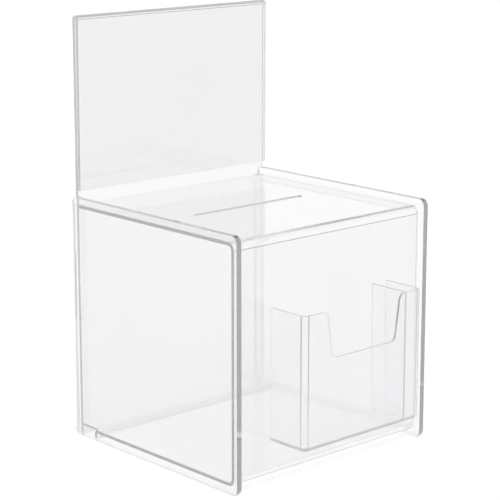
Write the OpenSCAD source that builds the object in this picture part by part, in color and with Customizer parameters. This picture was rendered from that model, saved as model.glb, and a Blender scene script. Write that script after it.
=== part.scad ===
// Clear acrylic donation box: a bonded box on two overhanging cheeks, with a lift-out back panel that
// carries a folded poster header, and a leaflet pocket with a pen compartment on the front.
// Millimetres. +X is right along the front, -Y is the front, +Z is up.
// The origin is on the standing surface, at the centre of the whole footprint, pocket included.

/* [Box] */
// Clear width between the cheeks
inner_w = 212; // [180:1:320]
// Depth of the cheeks, front to rear
cheek_d = 216; // [180:1:320]
// Height of the cheeks, which is the height of the box
cheek_h = 216; // [180:1:320]
// Thickness of the cheeks
cheek_t = 5; // [4:0.5:8]
// Corner radius of the cheeks
cheek_r = 6.5; // [4:0.5:10]

/* [Body sheet] */
// Thickness of the bent sheet and of the back panel
sheet_t = 3; // [2:0.5:4]
// Outer radius of the two long bends at the front
bend_r = 7; // [5:0.5:10]
// Height of the floor's underside above the standing surface
floor_gap = 5.5; // [4:0.5:8]
// How far the cheeks stand above the top of the body
top_reveal = 6.5; // [4:0.5:10]
// How far the cheeks stand in front of the body
front_reveal = 6.5; // [4:0.5:10]
// How far the cheeks stand behind the back panel
rear_reveal = 4; // [3.5:0.5:6]
// Distance from the back panel to the lip at the rear end of the floor
lip_gap = 17; // [10:1:30]
// Outer radius of the lip's bend
lip_r = 4; // [3:0.5:6]
// Clearance of the lip above the standing surface
lip_clear = 1.5; // [1:0.5:3]

/* [Money slot] */
// Length of the slot, end to end
slot_l = 125; // [60:1:160]
// Width of the slot
slot_w = 5; // [4.5:0.5:10]

/* [Back panel and poster header] */
// Width of the header, which stands on the cheeks
header_w = 218; // [213:1:222]
// Height of the header above the cheeks
header_h = 158; // [80:1:220]
// Height of the front ply's free edge above the cheeks
free_edge_h = 6; // [3:1:15]
// Gap between the plies at the fold
fold_gap = 1.3; // [0.8:0.1:3]
// Gap between the plies at the free edge
edge_gap = 0.5; // [0.3:0.1:0.8]
// Clearance of the panel in its guides, on every side
panel_play = 0.3; // [0.2:0.05:0.5]
// Clearance of the panel above the standing surface
panel_clear = 0.8; // [0.5:0.1:2]

/* [Guides and ledge] */
// Width of the guide strips, across the box
guide_w = 4; // [3:0.5:6]
// Thickness of the strip on the rear end of the floor
ledge_t = 2; // [1:0.5:3]
// How far that strip lies on the floor
ledge_lap = 5; // [4:0.5:8]

/* [Leaflet pocket] */
// Outer width of the pocket
pocket_w = 137; // [110:1:170]
// Depth of the pocket in front of the box
pocket_d = 40; // [20:1:60]
// Height of the pocket's sides
pocket_h = 113; // [60:1:150]
// Height of the pocket's lower edge above the standing surface
pocket_z = 37; // [15:1:50]
// Thickness of the pocket's sheet, floor and divider
pocket_t = 2; // [1.5:0.5:3]
// Outer radius of the pocket's two bends
pocket_r = 5; // [4:0.5:8]
// Clear width of the compartment at the right
pen_w = 15.5; // [12:0.5:40]
// Width of the notch at the rim, before its corners are rounded
notch_top_w = 85; // [50:1:90]
// Width of the notch at its bottom, before its corners are rounded
notch_bottom_w = 73; // [40:1:80]
// Depth of the notch
notch_h = 40; // [20:1:55]
// Radius of the notch's four corners
notch_r = 6; // [3:0.5:10]

/* [Hidden] */
$fn = 96;
past = 1;                                            // how far a cutter runs past a face
guide_end_gap = 0.5;                                 // from a guide's end to a cheek's round corner
floor_corner_fit = 0.2;                              // the pocket floor's corners are this much rounder
acrylic = [0.88, 0.93, 0.95, 0.4];
strip_tint = [0.80, 0.87, 0.90, 0.5];

// Planes from front to rear
total_d = cheek_d + pocket_d - front_reveal;
pocket_y = -total_d / 2;                             // front of the pocket
cheek_y0 = pocket_y + pocket_d - front_reveal;       // front of the cheeks
cheek_y1 = total_d / 2;                              // rear of the cheeks
front_y = cheek_y0 + front_reveal;                   // front of the body
panel_y1 = cheek_y1 - rear_reveal;                   // rear of the back panel
panel_y0 = panel_y1 - sheet_t;                       // front of the back panel
body_y1 = panel_y0 - panel_play;                     // rear end of the top
lip_y = panel_y0 - lip_gap;                          // rear face of the lip
slot_y = (front_y + body_y1) / 2;

// Levels
top_z = cheek_h - top_reveal;                        // upper face of the top
floor_z = floor_gap + sheet_t;                       // upper face of the floor
header_z = cheek_h + header_h;                       // top of the fold
free_z = cheek_h + free_edge_h;                      // free edge of the front ply
fold_r = sheet_t + fold_gap / 2;                     // outer radius of the fold
ply_z = header_z - fold_r;                           // where the plies leave the fold

// The guides stand clear of the cheeks' round corners
guide_d = rear_reveal - panel_play;
rear_guide_z0 = cheek_r + guide_end_gap;
rear_guide_z1 = cheek_h - cheek_r - guide_end_gap;
front_guide_z0 = floor_z + ledge_t;
front_guide_z1 = top_z - sheet_t;

// The divider leaves pen_w clear at the right
divider_x = pocket_w / 2 - pocket_t - pen_w - pocket_t / 2;

function unit(v) = v / norm(v);
function turned(v, a) = [v.x * cos(a) - v.y * sin(a), v.x * sin(a) + v.y * cos(a)];

// Points of the arc of radius r that rounds the corner b between the lines to a and to c
function corner_arc(a, b, c, r, steps = 10) =
    let (u = unit(a - b), v = unit(c - b), half = acos(u * v) / 2)
    let (centre = b + unit(u + v) * r / sin(half), start = b + u * r / tan(half) - centre)
    let (way = sign(u.x * v.y - u.y * v.x) * -1, sweep = 180 - 2 * half)
    [for (i = [0:steps]) centre + turned(start, way * sweep * i / steps)];

// Extrudes a profile drawn in Y and Z along X, centred on the box
module along_x(width) {
    rotate([90, 0, 90])
        linear_extrude(width, center = true)
            children();
}

// Rectangle between two opposite corners
module span(p, q) {
    translate([min(p.x, q.x), min(p.y, q.y)])
        square([abs(q.x - p.x), abs(q.y - p.y)]);
}

// Quarter ring about a centre, in the quadrant that side points to
module quarter_bend(centre, r, t, side) {
    translate(centre)
        intersection() {
            difference() {
                circle(r);
                circle(r - t);
            }
            span([0, 0], [side.x * (r + past), side.y * (r + past)]);
        }
}

module rounded_rect(w, h, r) {
    span([r, 0], [w - r, h]);
    span([0, r], [w, h - r]);
    for (x = [r, w - r], y = [r, h - r])
        translate([x, y])
            circle(r);
}

// Cheeks -------------------------------------------------------------------

module cheek(side) {
    color(acrylic)
        translate([side * (inner_w + cheek_t) / 2, 0, 0])
            along_x(cheek_t)
                translate([cheek_y0, 0])
                    rounded_rect(cheek_d, cheek_h, cheek_r);
}

module left_cheek() {
    cheek(-1);
}

module right_cheek() {
    cheek(1);
}

// Body: top, front, floor and lip in one bent sheet --------------------------

module body_profile() {
    bend_y = front_y + bend_r;
    lip_bend = [lip_y - lip_r, floor_z - lip_r];
    span([bend_y, top_z - sheet_t], [body_y1, top_z]);
    quarter_bend([bend_y, top_z - bend_r], bend_r, sheet_t, [-1, 1]);
    span([front_y, floor_gap + bend_r], [front_y + sheet_t, top_z - bend_r]);
    quarter_bend([bend_y, floor_gap + bend_r], bend_r, sheet_t, [-1, -1]);
    span([bend_y, floor_gap], [lip_bend.x, floor_z]);
    quarter_bend(lip_bend, lip_r, sheet_t, [1, 1]);
    span([lip_y - sheet_t, lip_clear], [lip_y, lip_bend.y]);
}

module money_slot() {
    half = (slot_l - slot_w) / 2;
    translate([0, slot_y, top_z - sheet_t - past])
        linear_extrude(sheet_t + 2 * past) {
            square([2 * half, slot_w], center = true);
            for (side = [-1, 1])
                translate([side * half, 0])
                    circle(d = slot_w);
        }
}

module body_sheet() {
    color(acrylic)
        difference() {
            along_x(inner_w)
                body_profile();
            money_slot();
        }
}

// Back panel: lower part between the cheeks, header folded over its top --------

module header_profile() {
    fold_y = panel_y1 - fold_r;
    ply_y0 = panel_y1 - 2 * fold_r;
    edge_y0 = panel_y0 - edge_gap - sheet_t;
    span([panel_y0, cheek_h + panel_play / 2], [panel_y1, ply_z]);
    quarter_bend([fold_y, ply_z], fold_r, sheet_t, [1, 1]);
    quarter_bend([fold_y, ply_z], fold_r, sheet_t, [-1, 1]);
    polygon([[ply_y0, ply_z], [edge_y0, free_z], [edge_y0 + sheet_t, free_z], [ply_y0 + sheet_t, ply_z]]);
}

module back_panel() {
    color(acrylic) {
        along_x(inner_w - 2 * panel_play)
            span([panel_y0, panel_clear], [panel_y1, cheek_h + past]);
        along_x(header_w)
            header_profile();
    }
}

// Ledge and guides ------------------------------------------------------------

module rear_ledge() {
    color(strip_tint)
        along_x(inner_w)
            span([lip_y - ledge_lap, floor_z], [body_y1, floor_z + ledge_t]);
}

module guide(side, y0, z0, z1) {
    color(strip_tint)
        translate([side * (inner_w - guide_w) / 2, 0, 0])
            along_x(guide_w)
                span([y0, z0], [y0 + guide_d, z1]);
}

module rear_guide(side) {
    guide(side, panel_y1 + panel_play, rear_guide_z0, rear_guide_z1);
}

module front_guide(side) {
    guide(side, body_y1 - guide_d, front_guide_z0, front_guide_z1);
}

module left_rear_guide() {
    rear_guide(-1);
}

module left_front_guide() {
    front_guide(-1);
}

module right_rear_guide() {
    rear_guide(1);
}

module right_front_guide() {
    front_guide(1);
}

// Leaflet pocket ---------------------------------------------------------------

module pocket_plan() {
    bend_x = pocket_w / 2 - pocket_r;
    bend_y = pocket_y + pocket_r;
    span([-bend_x, pocket_y], [bend_x, pocket_y + pocket_t]);
    for (side = [-1, 1]) {
        quarter_bend([side * bend_x, bend_y], pocket_r, pocket_t, [side, -1]);
        span([side * (pocket_w / 2 - pocket_t), bend_y], [side * pocket_w / 2, front_y]);
    }
}

// Half outline of the notch in X and Z, from the rim down to its middle
module notch_half() {
    rim = [notch_top_w / 2, pocket_z + pocket_h];
    foot = [notch_bottom_w / 2, rim.y - notch_h];
    flare = corner_arc([rim.x + pocket_w, rim.y], rim, foot, notch_r);
    root = corner_arc(rim, foot, [0, foot.y], notch_r);
    polygon(concat([[0, rim.y + past], [flare[0].x, rim.y + past]], flare, root, [[0, foot.y]]));
}

module notch() {
    translate([0, pocket_y + pocket_r, 0])
        rotate([90, 0, 0])
            linear_extrude(pocket_r + past) {
                notch_half();
                mirror([1, 0])
                    notch_half();
            }
}

module pocket_shell() {
    color(acrylic)
        difference() {
            translate([0, 0, pocket_z])
                linear_extrude(pocket_h)
                    pocket_plan();
            notch();
        }
}

module pocket_floor() {
    half = pocket_w / 2 - pocket_t;
    back = [half, front_y];
    front = [half, pocket_y + pocket_t];
    corner = corner_arc(back, front, [0, front.y], pocket_r - pocket_t + floor_corner_fit);
    mirrored = [for (i = [len(corner) - 1:-1:0]) [-corner[i].x, corner[i].y]];
    color(acrylic)
        translate([0, 0, pocket_z])
            linear_extrude(pocket_t)
                polygon(concat([[-half, back.y], back], corner, mirrored));
}

module pocket_divider() {
    color(acrylic)
        translate([divider_x, 0, 0])
            along_x(pocket_t)
                span([pocket_y + pocket_t, pocket_z + pocket_t], [front_y, pocket_z + pocket_h]);
}

left_cheek();
right_cheek();
body_sheet();
back_panel();
rear_ledge();
left_rear_guide();
left_front_guide();
right_rear_guide();
right_front_guide();
pocket_shell();
pocket_floor();
pocket_divider();
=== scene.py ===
"""Clear acrylic donation box: looks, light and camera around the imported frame. Metres, row frame."""
import math

import bmesh
import bpy
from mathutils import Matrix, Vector


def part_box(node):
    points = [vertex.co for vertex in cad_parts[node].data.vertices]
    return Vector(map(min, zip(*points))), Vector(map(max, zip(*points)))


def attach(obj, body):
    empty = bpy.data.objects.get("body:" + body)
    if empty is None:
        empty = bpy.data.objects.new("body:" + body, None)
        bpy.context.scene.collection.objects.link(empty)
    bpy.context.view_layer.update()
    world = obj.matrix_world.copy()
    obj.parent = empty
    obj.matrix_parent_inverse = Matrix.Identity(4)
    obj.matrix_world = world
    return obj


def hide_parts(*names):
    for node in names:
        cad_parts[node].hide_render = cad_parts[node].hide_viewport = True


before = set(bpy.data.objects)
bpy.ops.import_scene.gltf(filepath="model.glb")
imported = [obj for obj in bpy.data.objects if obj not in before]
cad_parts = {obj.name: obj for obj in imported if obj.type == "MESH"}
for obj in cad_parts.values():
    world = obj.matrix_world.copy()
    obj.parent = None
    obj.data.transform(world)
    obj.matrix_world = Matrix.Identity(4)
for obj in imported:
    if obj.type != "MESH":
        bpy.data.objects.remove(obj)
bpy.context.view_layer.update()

MM = 0.001
GLUE = 0.05 * MM          # gap left at each bonded face, so that no two clear faces coincide
EDGE = 0.22 * MM          # radius to which each cut edge is eased
EDGE_STEPS = 2
BEND_STEP = math.radians(5)
CORNER_STEPS = 14
SAME_POINT = 1e-7         # points nearer than this are one, in metres
RUN_SLACK = 1e-9          # lets the end of one run of a bent sheet find the start of the next
LEAST_MITRE = 0.3         # keeps the inset of a very sharp corner short
SHARP_ANGLE = math.radians(35)
END_FACING = 0.7          # a cut face is an end if it looks along the end axis by this share or more
FLAT_FACE_WEIGHT = 90     # how much a large flat face sets the normals beside it

# Shapes that a node's box doesn't give
SHEET = 3 * MM
BEND_R = 7 * MM
LIP_R = 4 * MM
CHEEK_R = 6.5 * MM
FOLD_R = 3.65 * MM
FREE_EDGE_LEAN = 0.8 * MM  # how much closer the front ply is to the back one at its free edge
FREE_EDGE_H = 6 * MM       # height of the free edge above the cheeks
PANEL_PLAY = 0.3 * MM
LEDGE_LAP = 5 * MM         # how far the rear ledge lies on the floor of the sheet
POCKET = 2 * MM
POCKET_R = 5 * MM
POCKET_CORNER_FIT = 0.2 * MM  # how much rounder the pocket floor's corners are than the bend
SLOT_L = 125 * MM
SLOT_W = 5 * MM
SLOT_END_R = SLOT_W / 2 * 0.999  # a little under half, so that no two points coincide
NOTCH_TOP = 85 * MM
NOTCH_BOTTOM = 73 * MM
NOTCH_H = 40 * MM
NOTCH_R = 6 * MM

# The material of each kind of face, in the order in which finishes() makes them
ON_FACE, ON_END, ON_BEND, ON_RIM = range(4)

# Finishes. mottle is the scale of the noise in the tint, and grain of that in gloss and relief.
# stretch is along the object's axes, and the grain of a cut is drawn out along Z
ACRYLIC_IOR = 1.49
DEPTH_COLOUR = (0.80, 0.815, 0.83, 1)
TINT_SHIFT = (0.0, -0.002, 0.003)
FACE = {"rough": (0.0, 0.008), "mottle": 9.0, "grain": 26.0, "bump": 4e-6, "stretch": (1, 1, 1)}
CUT = {"rough": (0.0, 0.006), "mottle": 40.0, "grain": 90.0, "bump": 1.2e-6, "stretch": (1, 1, 0.15)}
BEND = {"rough": (0.02, 0.06), "mottle": 30.0, "grain": 60.0, "bump": 4e-6, "stretch": (1, 1, 1)}
NOISE_DETAIL = 3.0
# How far a tint strays from its share of light either way
FACE_SPREAD = 0.012
END_SPREAD = 0.09
BEND_SPREAD = 0.02
RIM_SPREAD = 0.06

# Studio. The sky's strength goes from low at start to high at stop: in SECTOR by the cosine to
# the camera's side, fixed in direction, and in OVERHEAD by height
FLOOR_SIZE = 120
FLOOR_DROP = 0.2 * MM     # below the feet, so that no two faces coincide
FLOOR_COLOUR = (0.93, 0.93, 0.93, 1)
FLOOR_ROUGHNESS = 0.8
SUN_ENERGY = 0.98
SUN_SPREAD = math.radians(50)
SUN_TURN = (math.radians(28), math.radians(-24), 0)
SECTOR = {"low": 1.04, "high": 0.45, "start": 0.74, "stop": 0.95}
OVERHEAD = {"low": 1.0, "high": 0.80, "start": 0.35, "stop": 0.85}

CAMERA_AZIMUTH = -42.23
CAMERA_ELEVATION = 12.39
CAMERA_DISTANCE = 1.545
CAMERA_AIM = Vector((-0.0067, 0.0082, 0.1942))
CAMERA_LENS = 128.69
CAMERA_SENSOR = 36
CAMERA_SHIFT_Y = -0.05

LIGHT_GUIDE_BOUNCES = 600  # a ray can cross a sheet hundreds of times before it leaves by an edge
TRANSPARENT_BOUNCES = 64


# Outlines ---------------------------------------------------------------------

def rounded(points, radii):
    """A closed outline with each corner rounded to its radius."""
    out = []
    count = len(points)
    for i, (corner, radius) in enumerate(zip(points, radii)):
        corner = Vector(corner)
        u = (Vector(points[i - 1]) - corner).normalized()
        v = (Vector(points[(i + 1) % count]) - corner).normalized()
        if radius <= 0:
            out.append(corner)
            continue
        half = u.angle(v) / 2
        centre = corner + (u + v).normalized() * radius / math.sin(half)
        start = corner + u * radius / math.tan(half) - centre
        sweep = math.pi - 2 * half
        way = -1 if u.x * v.y - u.y * v.x > 0 else 1
        for k in range(CORNER_STEPS + 1):
            a = way * sweep * k / CORNER_STEPS
            turned = Vector((start.x * math.cos(a) - start.y * math.sin(a),
                             start.x * math.sin(a) + start.y * math.cos(a)))
            out.append(centre + turned)
    return out


def rectangle(x0, y0, x1, y1, radius=0.0):
    return rounded([(x0, y0), (x1, y0), (x1, y1), (x0, y1)], [radius] * 4)


def area(points):
    return sum(p.x * q.y - q.x * p.y for p, q in zip(points, points[1:] + points[:1])) / 2


def inset(points, depth):
    """The outline moved by depth to its left, which is into the sheet."""
    out = []
    count = len(points)
    for i, p in enumerate(points):
        a = (p - points[i - 1]).normalized()
        b = (points[(i + 1) % count] - p).normalized()
        normal = Vector((-a.y - b.y, a.x + b.x)).normalized()
        out.append(p + normal * depth / max(LEAST_MITRE, normal.dot(Vector((-a.y, a.x)))))
    return out


# Meshes -----------------------------------------------------------------------

def turn_outward(bm):
    """Consistent faces that look out of the solid, by the sign of its volume."""
    bmesh.ops.recalc_face_normals(bm, faces=bm.faces[:])
    if bm.calc_volume(signed=True) < 0:
        bmesh.ops.reverse_faces(bm, faces=bm.faces[:])
    return bm


def plate(outline, thickness, holes=()):
    """A flat sheet from z 0 to thickness, its cut edges eased, with any holes."""
    bm = bmesh.new()
    loops = [outline if area(outline) > 0 else outline[::-1]]
    loops += [h if area(h) < 0 else h[::-1] for h in holes]
    levels = []
    for k in range(EDGE_STEPS + 1):
        a = math.pi / 2 * k / EDGE_STEPS
        levels.append((EDGE * (1 - math.sin(a)), EDGE * (1 - math.cos(a))))
    levels += [(d, thickness - z) for d, z in reversed(levels)]
    bottom, top = [], []
    for loop in loops:
        rings = [[bm.verts.new((p.x, p.y, z)) for p in inset(loop, d)] for d, z in levels]
        for low, high in zip(rings, rings[1:]):
            for i in range(len(loop)):
                bm.faces.new((low[i - 1], low[i], high[i], high[i - 1])).material_index = ON_END
        for ring, cap in ((rings[0], bottom), (rings[-1], top)):
            cap += [bm.edges.get((ring[i - 1], ring[i])) for i in range(len(ring))]
    for cap in (bottom, top):
        bmesh.ops.triangle_fill(bm, use_beauty=True, use_dissolve=False, edges=cap)
    return turn_outward(bm)


class Bent:
    """A path in a plane for the middle of a sheet: straight runs and arcs, by developed length."""

    def __init__(self, start, heading, thickness):
        self.at = Vector(start)
        self.heading = heading
        self.half = thickness / 2
        self.length = 0.0
        self.runs = []

    def line(self, length):
        self.runs.append((self.length, length, self.at.copy(), self.heading, 0.0))
        self.at += length * Vector((math.cos(self.heading), math.sin(self.heading)))
        self.length += length
        return self

    def arc(self, outer_r, angle):
        radius = outer_r - self.half
        turn = math.copysign(1 / radius, angle)
        length = radius * abs(angle)
        self.runs.append((self.length, length, self.at.copy(), self.heading, turn))
        self.at = self.place(self.length + length, 0.0)
        self.heading += angle
        self.length += length
        return self

    def place(self, s, offset):
        """The point at developed length s, offset to the left of the path."""
        run = max((r for r in self.runs if r[0] <= s + RUN_SLACK), default=self.runs[0])
        start, _, at, heading, turn = run
        d = s - start
        h = heading + turn * d
        if turn:
            radius = 1 / turn
            centre = at + radius * Vector((-math.sin(heading), math.cos(heading)))
            at = centre - radius * Vector((-math.sin(h), math.cos(h)))
        else:
            at = at + d * Vector((math.cos(heading), math.sin(heading)))
        return at + offset * Vector((-math.sin(h), math.cos(h)))

    def bent_at(self, s):
        return any(turn and start < s < start + length for start, length, _, _, turn in self.runs)

    def cuts(self):
        """Developed lengths at which a flat sheet needs a row of points."""
        found = []
        for start, length, _, _, turn in self.runs:
            steps = max(1, math.ceil(length * abs(turn) / BEND_STEP))
            found += [start + length * k / steps for k in range(steps + 1)]
        return sorted(set(round(s, 9) for s in found if SAME_POINT < s < self.length - SAME_POINT))


def bend(bm, path, to_frame):
    """Bends a plate, developed along X, onto the path. to_frame(across, in-plane point) places it."""
    for s in path.cuts():
        bmesh.ops.bisect_plane(bm, geom=bm.verts[:] + bm.edges[:] + bm.faces[:], dist=SAME_POINT,
                               plane_co=(s, 0, 0), plane_no=(1, 0, 0))
    for f in bm.faces:
        if f.material_index == ON_FACE and path.bent_at(f.calc_center_median().x):
            f.material_index = ON_BEND
    for v in bm.verts:
        v.co = to_frame(v.co.y, path.place(v.co.x, v.co.z - path.half))
    return turn_outward(bm)


def lay(bm, to_frame):
    """Places a flat plate by its own x, y and z."""
    for v in bm.verts:
        v.co = to_frame(*v.co)
    return turn_outward(bm)


def piece(name, bm, node, body, materials, axis):
    """A finished piece. Cut faces that don't look along the end axis are free rims."""
    mesh = bpy.data.meshes.new(name)
    for e in bm.edges:
        e.smooth = len(e.link_faces) == 2 and e.calc_face_angle(0) < SHARP_ANGLE
    for f in bm.faces:
        f.smooth = True
        if f.material_index == ON_END and abs(f.normal[axis]) < END_FACING:
            f.material_index = ON_RIM
    bm.to_mesh(mesh)
    bm.free()
    obj = bpy.data.objects.new(name, mesh)
    bpy.context.scene.collection.objects.link(obj)
    for m in materials:
        mesh.materials.append(m)
    weighted = obj.modifiers.new("flat_faces", "WEIGHTED_NORMAL")
    weighted.keep_sharp = True
    weighted.weight = FLAT_FACE_WEIGHT
    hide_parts(node)
    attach(obj, body)
    return obj


# Materials --------------------------------------------------------------------

def map_range(nt, source, low, high, start=0.0, stop=1.0, kind="LINEAR"):
    node = nt.nodes.new("ShaderNodeMapRange")
    node.interpolation_type = kind
    for key, value in (("From Min", start), ("From Max", stop), ("To Min", low), ("To Max", high)):
        node.inputs[key].default_value = value
    nt.links.new(source, node.inputs["Value"])
    return node.outputs["Result"]


def combined(nt, operation, first, second):
    node = nt.nodes.new("ShaderNodeMath")
    node.operation = operation
    nt.links.new(first, node.inputs[0])
    nt.links.new(second, node.inputs[1])
    return node.outputs[0]


def noise(nt, coords, scale):
    node = nt.nodes.new("ShaderNodeTexNoise")
    node.inputs["Scale"].default_value = scale
    node.inputs["Detail"].default_value = NOISE_DETAIL
    nt.links.new(coords, node.inputs["Vector"])
    return node.outputs["Fac"]


def colour_between(nt, source, dark, light):
    node = nt.nodes.new("ShaderNodeValToRGB")
    node.color_ramp.elements[0].color = (*dark, 1)
    node.color_ramp.elements[1].color = (*light, 1)
    nt.links.new(source, node.inputs["Fac"])
    return node.outputs["Color"]


def clear(name, dark, light, finish, absorb):
    """Clear acrylic between two tints. Shadow and diffuse rays pass it as if it weren't there."""
    m = bpy.data.materials.new(name)
    m.use_nodes = True
    nt = m.node_tree
    nt.nodes.clear()
    coords = nt.nodes.new("ShaderNodeTexCoord").outputs["Object"]
    mapping = nt.nodes.new("ShaderNodeMapping")
    mapping.inputs["Scale"].default_value = finish["stretch"]
    nt.links.new(coords, mapping.inputs["Vector"])
    shader = nt.nodes.new("ShaderNodeBsdfPrincipled")
    shader.inputs["Transmission Weight"].default_value = 1.0
    shader.inputs["IOR"].default_value = ACRYLIC_IOR
    nt.links.new(colour_between(nt, noise(nt, coords, finish["mottle"]), dark, light),
                 shader.inputs["Base Color"])
    grain = noise(nt, mapping.outputs["Vector"], finish["grain"])
    nt.links.new(map_range(nt, grain, *finish["rough"]), shader.inputs["Roughness"])
    relief = nt.nodes.new("ShaderNodeBump")
    relief.inputs["Distance"].default_value = finish["bump"]
    relief.inputs["Strength"].default_value = 1.0
    nt.links.new(grain, relief.inputs["Height"])
    nt.links.new(relief.outputs["Normal"], shader.inputs["Normal"])
    passing = nt.nodes.new("ShaderNodeBsdfTransparent")
    passing.inputs["Color"].default_value = (1, 1, 1, 1)
    ray = nt.nodes.new("ShaderNodeLightPath").outputs
    either = combined(nt, "MAXIMUM", ray["Is Shadow Ray"], ray["Is Diffuse Ray"])
    mix = nt.nodes.new("ShaderNodeMixShader")
    nt.links.new(either, mix.inputs[0])
    nt.links.new(shader.outputs[0], mix.inputs[1])
    nt.links.new(passing.outputs[0], mix.inputs[2])
    out = nt.nodes.new("ShaderNodeOutputMaterial")
    nt.links.new(mix.outputs[0], out.inputs["Surface"])
    volume = nt.nodes.new("ShaderNodeVolumeAbsorption")
    volume.inputs["Color"].default_value = DEPTH_COLOUR
    volume.inputs["Density"].default_value = absorb
    nt.links.new(volume.outputs[0], out.inputs["Volume"])
    return m


def tints(share, spread):
    """The darkest and the lightest colour around a share of light."""
    return [[share * (1 + sign * spread + shift) for shift in TINT_SHIFT] for sign in (-1, 1)]


def finishes(slot, passes, end_painted_shade, rim_painted_shade, absorb):
    """Materials for faces, cut ends, bends and rims, by the share of light each lets through, which is
    painted shade.
    """
    # A bend keeps only half of its face's painted shade, so the folds are painted lighter than the
    # faces
    return [clear(slot + "_face", *tints(passes, FACE_SPREAD), FACE, absorb),
            clear(slot + "_end", *tints(end_painted_shade, END_SPREAD), CUT, absorb),
            clear(slot + "_bend", *tints((1 + passes) / 2, BEND_SPREAD), BEND, absorb),
            clear(slot + "_rim", *tints(rim_painted_shade, RIM_SPREAD), CUT, absorb)]


# The axis along which each finish's bonded ends look; its other cut faces are free rims
END_AXIS = {"cheek_acrylic": 1, "sheet_acrylic": 0, "panel_acrylic": 0, "strip_acrylic": 1,
            "pocket_acrylic": 1, "ledge": 0}
# For each finish: the share passed by faces, by ends and by rims, and the density of its depth. The
# shares are painted shade, a grey for each piece of one clear acrylic, darkest on the cut ends
SHARES = {
    "cheek_acrylic": (0.941, 0.42, 0.93, 3.0),
    "sheet_acrylic": (0.929, 0.46, 0.72, 2.0),
    "panel_acrylic": (0.905, 0.60, 0.90, 1.5),
    "strip_acrylic": (0.985, 0.97, 0.97, 1.0),
    "ledge": (0.985, 0.50, 0.97, 1.0),
    "pocket_acrylic": (0.972, 0.66, 0.74, 2.0),
}
FINISHES = {name: finishes(name, *shares) for name, shares in SHARES.items()}


# Pieces -----------------------------------------------------------------------

def add(name, bm, node, slot, body="box", finish=None):
    """A piece in the record's slot, with the finish of that name unless another is given."""
    finish = finish or slot
    return piece(name, bm, node, body, FINISHES[finish], END_AXIS[finish])


def cheek(side):
    node = side + "_cheek"
    lo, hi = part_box(node)
    outline = rectangle(lo.y, lo.z, hi.y, hi.z, CHEEK_R)
    bm = lay(plate(outline, hi.x - lo.x), lambda y, z, x: (lo.x + x, y, z))
    add(node + "_plate", bm, node, "cheek_acrylic")


def body_sheet():
    lo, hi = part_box("body_sheet")
    ledge_lo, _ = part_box("rear_ledge")
    lip_y = ledge_lo.y + LEDGE_LAP
    floor_top = ledge_lo.z
    half = SHEET / 2
    path = Bent((hi.y, hi.z - half), math.pi, SHEET)
    path.line(hi.y - lo.y - BEND_R).arc(BEND_R, math.pi / 2)
    path.line(hi.z - (floor_top - SHEET) - 2 * BEND_R).arc(BEND_R, math.pi / 2)
    path.line(lip_y - LIP_R - (lo.y + BEND_R)).arc(LIP_R, -math.pi / 2)
    path.line(floor_top - LIP_R - lo.z)
    width = (hi.x - lo.x) / 2 - GLUE
    middle = (hi.y - lo.y) / 2
    slot = rectangle(middle - SLOT_W / 2, -SLOT_L / 2, middle + SLOT_W / 2, SLOT_L / 2, SLOT_END_R)
    bm = plate(rectangle(0, -width, path.length, width), SHEET, [slot])
    add("bent_body_sheet", bend(bm, path, lambda x, p: (x, p.x, p.y)), "body_sheet",
        "sheet_acrylic")


def back_panel():
    lo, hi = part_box("back_panel")
    cheek_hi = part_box("left_cheek")[1]
    inner = abs(cheek_hi.x) - PANEL_PLAY
    shoulder = cheek_hi.z + PANEL_PLAY / 2 - lo.z
    ply_z = hi.z - FOLD_R
    drop = ply_z - (cheek_hi.z + FREE_EDGE_H)
    lean = math.atan2(FREE_EDGE_LEAN, drop)
    path = Bent((hi.y - SHEET / 2, lo.z), math.pi / 2, SHEET)
    path.line(ply_z - lo.z).arc(FOLD_R, math.pi + lean).line(math.hypot(drop, FREE_EDGE_LEAN))
    wide = hi.x
    outline = rounded([(0, -inner), (shoulder, -inner), (shoulder, -wide), (path.length, -wide),
                       (path.length, wide), (shoulder, wide), (shoulder, inner), (0, inner)],
                      [0] * 8)
    bm = bend(plate(outline, SHEET), path, lambda x, p: (x, p.x, p.y))
    add("folded_back_panel", bm, "back_panel", "panel_acrylic", "panel")


def strip(node, name, finish="strip_acrylic"):
    lo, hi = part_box(node)
    outline = rectangle(lo.x + GLUE, lo.y + GLUE, hi.x - GLUE, hi.y - GLUE)
    height = hi.z - lo.z - 2 * GLUE
    bm = lay(plate(outline, height), lambda x, y, z: (x, y, lo.z + GLUE + z))
    add(name, bm, node, "strip_acrylic", finish=finish)


def pocket_shell():
    lo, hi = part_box("pocket_shell")
    path = Bent((lo.x + POCKET / 2, hi.y - GLUE), -math.pi / 2, POCKET)
    path.line(hi.y - GLUE - lo.y - POCKET_R).arc(POCKET_R, math.pi / 2)
    path.line(hi.x - lo.x - 2 * POCKET_R).arc(POCKET_R, math.pi / 2)
    path.line(hi.y - GLUE - lo.y - POCKET_R)
    centre = path.length / 2
    foot = hi.z - NOTCH_H
    corners = [(0, lo.z), (path.length, lo.z), (path.length, hi.z),
               (centre + NOTCH_TOP / 2, hi.z), (centre + NOTCH_BOTTOM / 2, foot),
               (centre - NOTCH_BOTTOM / 2, foot), (centre - NOTCH_TOP / 2, hi.z), (0, hi.z)]
    outline = rounded(corners, [0, 0, 0] + [NOTCH_R] * 4 + [0])
    bm = bend(plate(outline, POCKET), path, lambda z, p: (p.x, p.y, z))
    add("bent_pocket_shell", bm, "pocket_shell", "pocket_acrylic")


def pocket_floor():
    lo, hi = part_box("pocket_floor")
    x0, x1, y0, y1 = lo.x + GLUE, hi.x - GLUE, lo.y + GLUE, hi.y - GLUE
    r = POCKET_R - POCKET + POCKET_CORNER_FIT
    outline = rounded([(x0, y0), (x1, y0), (x1, y1), (x0, y1)], [r, r, 0, 0])
    bm = lay(plate(outline, hi.z - lo.z), lambda x, y, z: (x, y, lo.z + z))
    add("pocket_floor_plate", bm, "pocket_floor", "pocket_acrylic")


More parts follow.
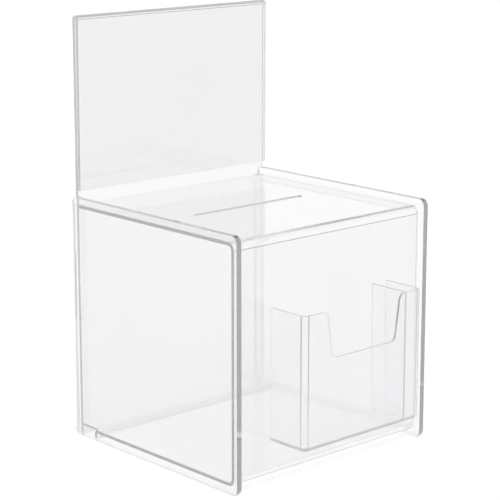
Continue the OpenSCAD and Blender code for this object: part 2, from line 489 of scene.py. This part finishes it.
def pocket_divider():
    lo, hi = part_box("pocket_divider")
    outline = rectangle(lo.y + GLUE, lo.z + GLUE, hi.y - GLUE, hi.z)
    bm = lay(plate(outline, hi.x - lo.x), lambda y, z, x: (lo.x + x, y, z))
    add("pocket_divider_plate", bm, "pocket_divider", "pocket_acrylic")


for side in ("left", "right"):
    cheek(side)
    for place in ("rear", "front"):
        strip(f"{side}_{place}_guide", f"{side}_{place}_guide_strip")
body_sheet()
back_panel()
strip("rear_ledge", "rear_ledge_strip", "ledge")
pocket_shell()
pocket_floor()
pocket_divider()


# Studio -----------------------------------------------------------------------

def direction(azimuth, elevation):
    """The way from the box to a place at an azimuth and elevation, both in degrees."""
    a, e = math.radians(azimuth), math.radians(elevation)
    return Vector((math.sin(a) * math.cos(e), -math.cos(a) * math.cos(e), math.sin(e)))


def pale_floor():
    bpy.ops.mesh.primitive_grid_add(x_subdivisions=4, y_subdivisions=4, size=FLOOR_SIZE,
                                    location=(0, 0, 0))
    floor = bpy.context.object
    floor.name = "floor"
    m = bpy.data.materials.new("pale_floor")
    m.use_nodes = True
    shader = m.node_tree.nodes["Principled BSDF"]
    shader.inputs["Base Color"].default_value = FLOOR_COLOUR
    shader.inputs["Roughness"].default_value = FLOOR_ROUGHNESS
    shader.inputs["Specular IOR Level"].default_value = 0.0
    floor.data.materials.append(m)
    floor.location.z = -FLOOR_DROP


def key_light():
    sun = bpy.data.objects.new("key", bpy.data.lights.new("key", "SUN"))
    sun.data.energy = SUN_ENERGY
    sun.data.angle = SUN_SPREAD
    sun.rotation_euler = SUN_TURN
    bpy.context.scene.collection.objects.link(sun)


def sky():
    """A bright sky, darker in one fixed sector and overhead."""
    world = bpy.data.worlds.new("studio")
    bpy.context.scene.world = world
    world.use_nodes = True
    nt = world.node_tree
    coords = nt.nodes.new("ShaderNodeTexCoord").outputs["Generated"]
    dot = nt.nodes.new("ShaderNodeVectorMath")
    dot.operation = "DOT_PRODUCT"
    dot.inputs[1].default_value = direction(CAMERA_AZIMUTH, 0)
    nt.links.new(coords, dot.inputs[0])
    shade = map_range(nt, dot.outputs["Value"], kind="SMOOTHSTEP", **SECTOR)
    height = nt.nodes.new("ShaderNodeSeparateXYZ")
    nt.links.new(coords, height.inputs[0])
    overhead = map_range(nt, height.outputs["Z"], kind="SMOOTHSTEP", **OVERHEAD)
    back = nt.nodes["Background"]
    nt.links.new(combined(nt, "MULTIPLY", shade, overhead), back.inputs["Strength"])
    back.inputs["Color"].default_value = (1, 1, 1, 1)


def camera():
    data = bpy.data.cameras.new("camera")
    data.lens = CAMERA_LENS
    data.sensor_width = CAMERA_SENSOR
    data.shift_y = CAMERA_SHIFT_Y
    obj = bpy.data.objects.new("camera", data)
    bpy.context.scene.collection.objects.link(obj)
    back = direction(CAMERA_AZIMUTH, CAMERA_ELEVATION)
    obj.location = CAMERA_AIM + back * CAMERA_DISTANCE
    obj.rotation_mode = "QUATERNION"
    obj.rotation_quaternion = (-back).to_track_quat("-Z", "Y")
    bpy.context.scene.camera = obj


def light_paths():
    scene = bpy.context.scene
    scene.view_settings.view_transform = "Standard"
    scene.cycles.max_bounces = LIGHT_GUIDE_BOUNCES
    scene.cycles.transmission_bounces = LIGHT_GUIDE_BOUNCES
    scene.cycles.glossy_bounces = LIGHT_GUIDE_BOUNCES
    scene.cycles.transparent_max_bounces = TRANSPARENT_BOUNCES
    scene.cycles.denoising_input_passes = "RGB"  # the guide passes bead thin clear edges
    scene.cycles.caustics_refractive = False
    scene.cycles.caustics_reflective = False


pale_floor()
key_light()
sky()
camera()
light_paths()
